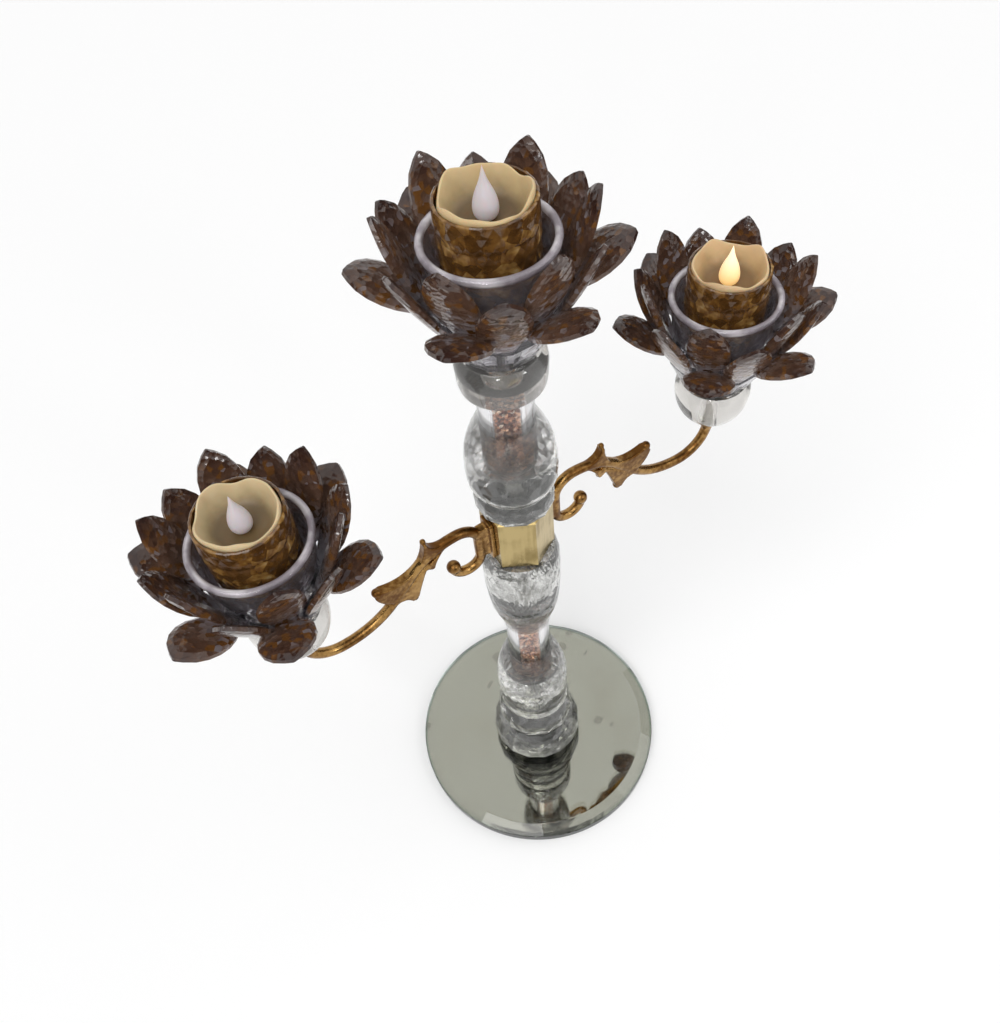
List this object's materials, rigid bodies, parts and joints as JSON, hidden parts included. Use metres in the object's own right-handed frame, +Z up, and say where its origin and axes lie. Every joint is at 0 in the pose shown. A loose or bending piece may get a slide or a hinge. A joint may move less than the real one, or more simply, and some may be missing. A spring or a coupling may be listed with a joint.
{
  "type": "candle holder",
  "caption": "Table candelabrum: cut glass stem on a round mirror base, two scroll arms and crystal lotus cups for LED candles.",
  "frame": {"origin": "middle of the underside, on the table under the stem's axis", "axes": "+Z up the stem, the two arms reach along -X and +X, +Y to the back"},
  "size_m": [0.3719, 0.175, 0.5005],
  "materials": {
    "mirror_glass": "polished, bevelled",
    "felt": "felt",
    "stem_crystal": "cut, polished",
    "tube_glass": "clear",
    "bowl_glass": "clear, thick lip",
    "smoky_crystal": "smoky brown coat, cut and speckled",
    "amber_glass": "hammered",
    "copper_stones": "crushed, bright",
    "gold_brass": "polished, lacquered",
    "zinc_steel": "plated",
    "clear_gasket": "clear",
    "ivory_shell": "waxy",
    "flame_lens": "frosted, unlit",
    "flame_lit": "frosted, lit",
    "white_plastic": "moulded",
    "black_plastic": "moulded",
    "battery_can": "plated"
  },
  "bodies": {
    "stand": {"base_mirror": "mirror_glass", "base_pads": "felt", "foot_glass": "stem_crystal", "lower_rondelle": "stem_crystal", "lower_cup": "stem_crystal", "lower_tube": "tube_glass", "upper_tube": "tube_glass", "lower_stones": "copper_stones", "upper_stones": "copper_stones", "pear_glass": "stem_crystal", "collar": "gold_brass", "facet_block": "stem_crystal", "upper_cup": "stem_crystal", "neck_ball": "stem_crystal", "top_coupler": "gold_brass", "arm_left": "gold_brass", "arm_right": "gold_brass", "arm_studs": "zinc_steel", "pans": "gold_brass", "side_balls": "stem_crystal", "side_studs": "zinc_steel", "centre_rod": "zinc_steel", "nuts": "zinc_steel", "gaskets": "clear_gasket", "calyx_top": "stem_crystal", "bowl_top": "bowl_glass", "outer_petals_top": "smoky_crystal", "middle_petals_top": "smoky_crystal", "inner_petals_top": "smoky_crystal", "calyx_right": "stem_crystal", "bowl_right": "bowl_glass", "outer_petals_right": "smoky_crystal", "middle_petals_right": "smoky_crystal", "inner_petals_right": "smoky_crystal", "calyx_left": "stem_crystal", "bowl_left": "bowl_glass", "outer_petals_left": "smoky_crystal", "middle_petals_left": "smoky_crystal", "inner_petals_left": "smoky_crystal"},
    "cup_top": {"votive_cup_top": "amber_glass"},
    "candle_top": {"candle_shell_top": "ivory_shell", "flame_top": "flame_lens", "candle_base_top": "white_plastic", "battery_top": "battery_can"},
    "door_top": {"battery_door_top": "white_plastic"},
    "slider_top": {"switch_top": "black_plastic"},
    "cup_right": {"votive_cup_right": "amber_glass"},
    "candle_right": {"candle_shell_right": "ivory_shell", "flame_right": "flame_lit", "candle_base_right": "white_plastic", "battery_right": "battery_can"},
    "door_right": {"battery_door_right": "white_plastic"},
    "slider_right": {"switch_right": "black_plastic"},
    "cup_left": {"votive_cup_left": "amber_glass"},
    "candle_left": {"candle_shell_left": "ivory_shell", "flame_left": "flame_lens", "candle_base_left": "white_plastic", "battery_left": "battery_can"},
    "door_left": {"battery_door_left": "white_plastic"},
    "slider_left": {"switch_left": "black_plastic"}
  },
  "joints": [
    {"name": "cup_lift_top", "type": "slide", "parent": "stand", "child": "cup_top", "axis": [0, 0, 1], "range_m": [0, 0.06]},
    {"name": "candle_lift_top", "type": "slide", "parent": "cup_top", "child": "candle_top", "axis": [0, 0, 1], "range_m": [0, 0.05]},
    {"name": "door_twist_top", "type": "hinge", "parent": "candle_top", "child": "door_top", "pos_m": [0, 0, 0.4455], "axis": [0, 0, 1], "range_deg": [0, 45]},
    {"name": "switch_slide_top", "type": "slide", "parent": "candle_top", "child": "slider_top", "axis": [0, 1, 0], "range_m": [0, 0.0028]},
    {"name": "cup_lift_right", "type": "slide", "parent": "stand", "child": "cup_right", "axis": [0, 0, 1], "range_m": [0, 0.06]},
    {"name": "candle_lift_right", "type": "slide", "parent": "cup_right", "child": "candle_right", "axis": [0, 0, 1], "range_m": [0, 0.05]},
    {"name": "door_twist_right", "type": "hinge", "parent": "candle_right", "child": "door_right", "pos_m": [0.1322, 0, 0.3465], "axis": [0, 0, 1], "range_deg": [0, 45]},
    {"name": "switch_slide_right", "type": "slide", "parent": "candle_right", "child": "slider_right", "axis": [0, 1, 0], "range_m": [0, 0.0028]},
    {"name": "cup_lift_left", "type": "slide", "parent": "stand", "child": "cup_left", "axis": [0, 0, 1], "range_m": [0, 0.06]},
    {"name": "candle_lift_left", "type": "slide", "parent": "cup_left", "child": "candle_left", "axis": [0, 0, 1], "range_m": [0, 0.05]},
    {"name": "door_twist_left", "type": "hinge", "parent": "candle_left", "child": "door_left", "pos_m": [-0.1322, 0, 0.3465], "axis": [0, 0, 1], "range_deg": [0, 45]},
    {"name": "switch_slide_left", "type": "slide", "parent": "candle_left", "child": "slider_left", "axis": [0, 1, 0], "range_m": [0, 0.0028]}
  ]
}
